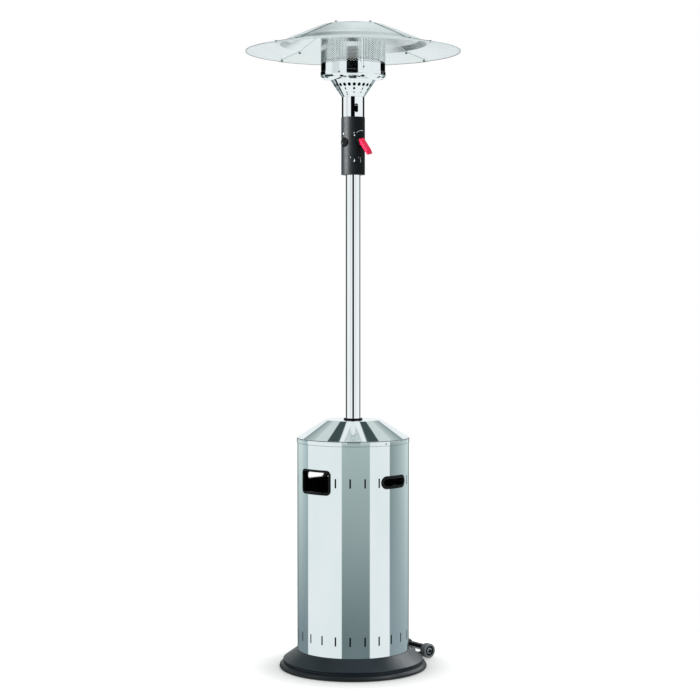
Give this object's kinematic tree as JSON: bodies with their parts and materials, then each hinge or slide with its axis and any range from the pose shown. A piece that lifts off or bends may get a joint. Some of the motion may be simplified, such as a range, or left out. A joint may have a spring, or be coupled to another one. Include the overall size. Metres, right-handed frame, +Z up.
{
  "type": "gas patio heater",
  "caption": "Free-standing gas patio heater: round weighted base with wheels, lift-up bottle housing, pole, control head with lever and button, burner screen and wide reflector.",
  "frame": {"origin": "on the floor, on the axis of the pole", "axes": "+Z up along the pole, -Y towards the front of the picture, +X to its right"},
  "size_m": [0.73, 0.73, 2.1889],
  "materials": {
    "base_paint": "dark slate, satin",
    "edge_plastic": "black, satin",
    "stainless": "polished",
    "chrome": "polished",
    "zinc_steel": "zinc plated",
    "cast_iron": "rough",
    "black_plastic": "black, semi-gloss",
    "rubber": "matt",
    "hub_plastic": "grey, satin",
    "red_plastic": "red, glossy",
    "brass": "machined",
    "aluminium": "brushed",
    "ceramic": "white, glazed"
  },
  "bodies": {
    "stand": {"base_edge_ring": "edge_plastic", "ballast_plate": "cast_iron", "base_pan": "base_paint", "support_post_left": "zinc_steel", "support_post_right": "zinc_steel", "support_post_rear": "zinc_steel", "pole_bracket": "zinc_steel", "pole_socket": "zinc_steel", "gas_inlet": "brass", "wheel_bracket": "edge_plastic", "wheel_axle": "zinc_steel", "pole": "chrome", "gas_pipe": "brass", "pole_adapter": "black_plastic", "control_tube": "chrome", "control_cover": "black_plastic", "gas_valve": "brass", "button_bezel": "black_plastic", "igniter": "black_plastic", "tilt_switch": "black_plastic", "feed_pipe": "brass", "jet_bracket": "zinc_steel", "injector": "brass", "air_cone": "stainless", "burner_pan": "stainless", "mixing_tube": "zinc_steel", "burner_head": "cast_iron", "emitter_screen": "stainless", "burner_cap": "stainless", "pilot_bracket": "zinc_steel", "electrode": "ceramic", "standoff_1": "zinc_steel", "standoff_2": "zinc_steel", "standoff_3": "zinc_steel", "standoff_4": "zinc_steel", "reflector_front": "aluminium", "reflector_right": "aluminium", "reflector_rear": "aluminium", "reflector_left": "aluminium", "crown_disc": "aluminium"},
    "housing": {"housing_shell": "stainless", "closing_strip": "zinc_steel", "window_trim": "black_plastic", "grip_right": "black_plastic", "grip_left": "black_plastic", "lid_cone": "stainless", "lid_band": "stainless", "pole_collar": "black_plastic"},
    "press": {"press_sleeve": "black_plastic"},
    "lever": {"valve_spindle": "brass", "lever_hub": "black_plastic", "control_lever": "red_plastic"},
    "igniter_button": {"ignition_button": "black_plastic"},
    "wheel_near": {"wheel_tyre_near": "rubber", "wheel_hub_near": "hub_plastic"},
    "wheel_far": {"wheel_tyre_far": "rubber", "wheel_hub_far": "hub_plastic"}
  },
  "joints": [
    {"name": "housing_lift", "type": "slide", "parent": "stand", "child": "housing", "axis": [0, 0, 1], "range_m": [0, 0.82]},
    {"name": "valve_press", "type": "slide", "parent": "stand", "child": "press", "axis": [-0.5878, 0.809, 0], "range_m": [0, 0.003], "stiffness_N_per_m": 1500, "springref_m": -0.001},
    {"name": "lever_turn", "type": "hinge", "parent": "press", "child": "lever", "pos_m": [0.02645, -0.03641, 1.785], "axis": [0.5878, -0.809, 0], "range_deg": [0, 180]},
    {"name": "igniter_press", "type": "slide", "parent": "stand", "child": "igniter_button", "axis": [0.7431, 0.6691, 0], "range_m": [0, 0.005], "stiffness_N_per_m": 1200, "springref_m": -0.001},
    {"name": "wheel_near_spin", "type": "hinge", "parent": "stand", "child": "wheel_near", "pos_m": [0.25973, 0.12059, 0.027], "axis": [0.6018, -0.7986, 0], "continuous": true},
    {"name": "wheel_far_spin", "type": "hinge", "parent": "stand", "child": "wheel_far", "pos_m": [0.18751, 0.21642, 0.027], "axis": [0.6018, -0.7986, 0], "continuous": true}
  ]
}
